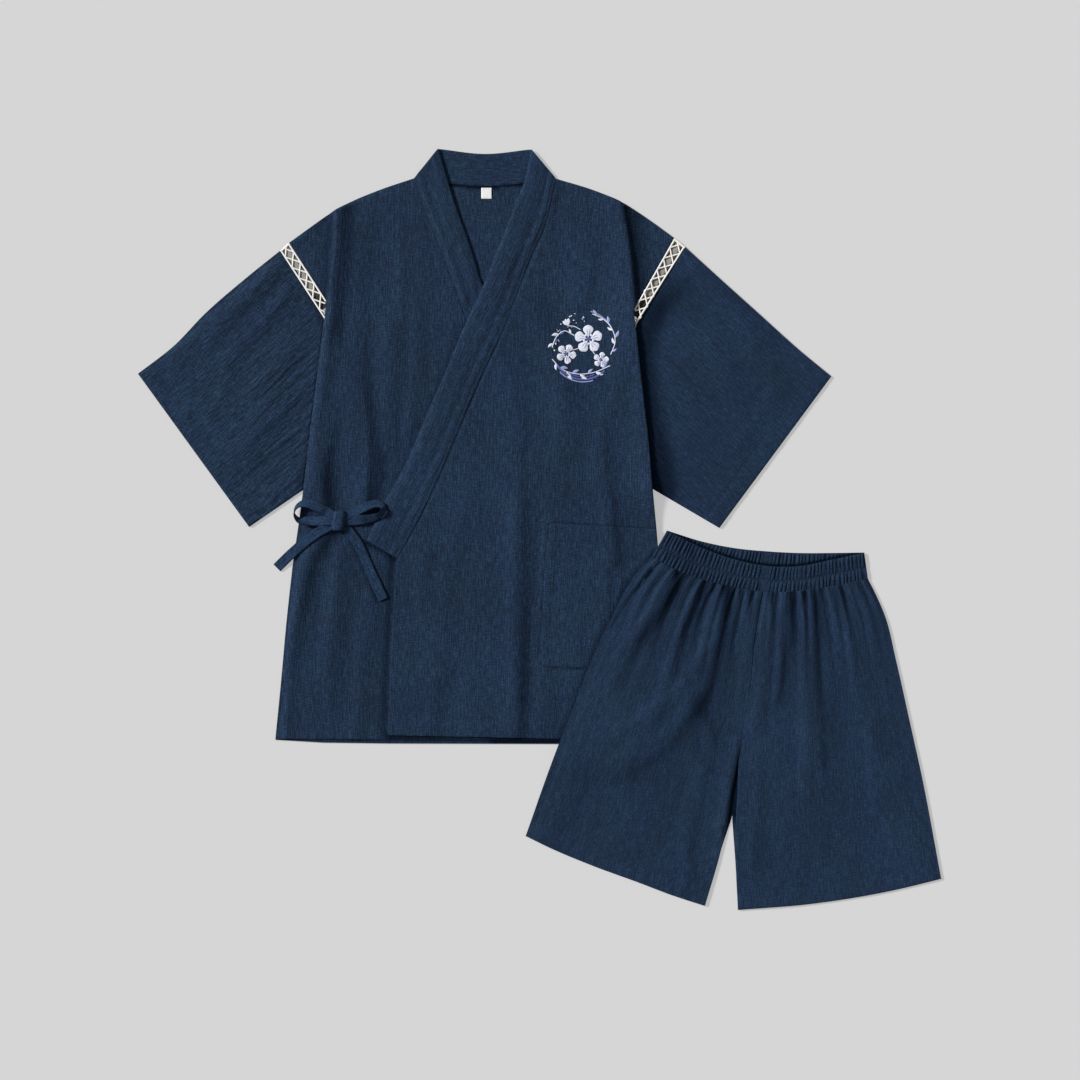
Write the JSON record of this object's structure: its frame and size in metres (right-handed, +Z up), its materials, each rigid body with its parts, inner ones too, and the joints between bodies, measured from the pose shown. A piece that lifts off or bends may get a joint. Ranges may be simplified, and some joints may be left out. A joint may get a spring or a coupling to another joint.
{
  "type": "jinbei set",
  "caption": "Japanese two-piece summer suit laid out flat: crossed-front jacket tied at the side with lace at the shoulders, and elastic-waist shorts over its corner.",
  "frame": {"origin": "middle of the laid-out set's bounding box, on the surface that it rests on", "axes": "+Y from the hems towards the jacket's neck, +X towards the shorts' side (the wearer's left), +Z up from the surface"},
  "size_m": [1.0837, 1.0271, 0.0188],
  "materials": {
    "navy_cotton": "crinkled slub cotton, matt, navy",
    "ecru_lace": "cotton ladder lace, matt, off-white",
    "white_tape": "woven tape, matt, white"
  },
  "bodies": {
    "root": {"back_panel": "navy_cotton", "front_left_over": "navy_cotton", "front_right_under": "navy_cotton", "collar_back": "navy_cotton", "collar_left_over": "navy_cotton", "collar_right_under": "navy_cotton", "sleeve_left_front": "navy_cotton", "sleeve_left_back": "navy_cotton", "sleeve_right_front": "navy_cotton", "sleeve_right_back": "navy_cotton", "lace_left_front": "ecru_lace", "lace_left_back": "ecru_lace", "lace_right_front": "ecru_lace", "lace_right_back": "ecru_lace", "pocket": "navy_cotton", "size_label": "white_tape", "bow_knot": "navy_cotton", "bow_loop_left": "navy_cotton", "bow_loop_right": "navy_cotton", "bow_tail_left": "navy_cotton", "bow_tail_right": "navy_cotton", "shorts_front_left": "navy_cotton", "shorts_front_right": "navy_cotton", "shorts_back_left": "navy_cotton", "shorts_back_right": "navy_cotton", "waistband_front": "navy_cotton", "waistband_back": "navy_cotton"}
  },
  "joints": []
}
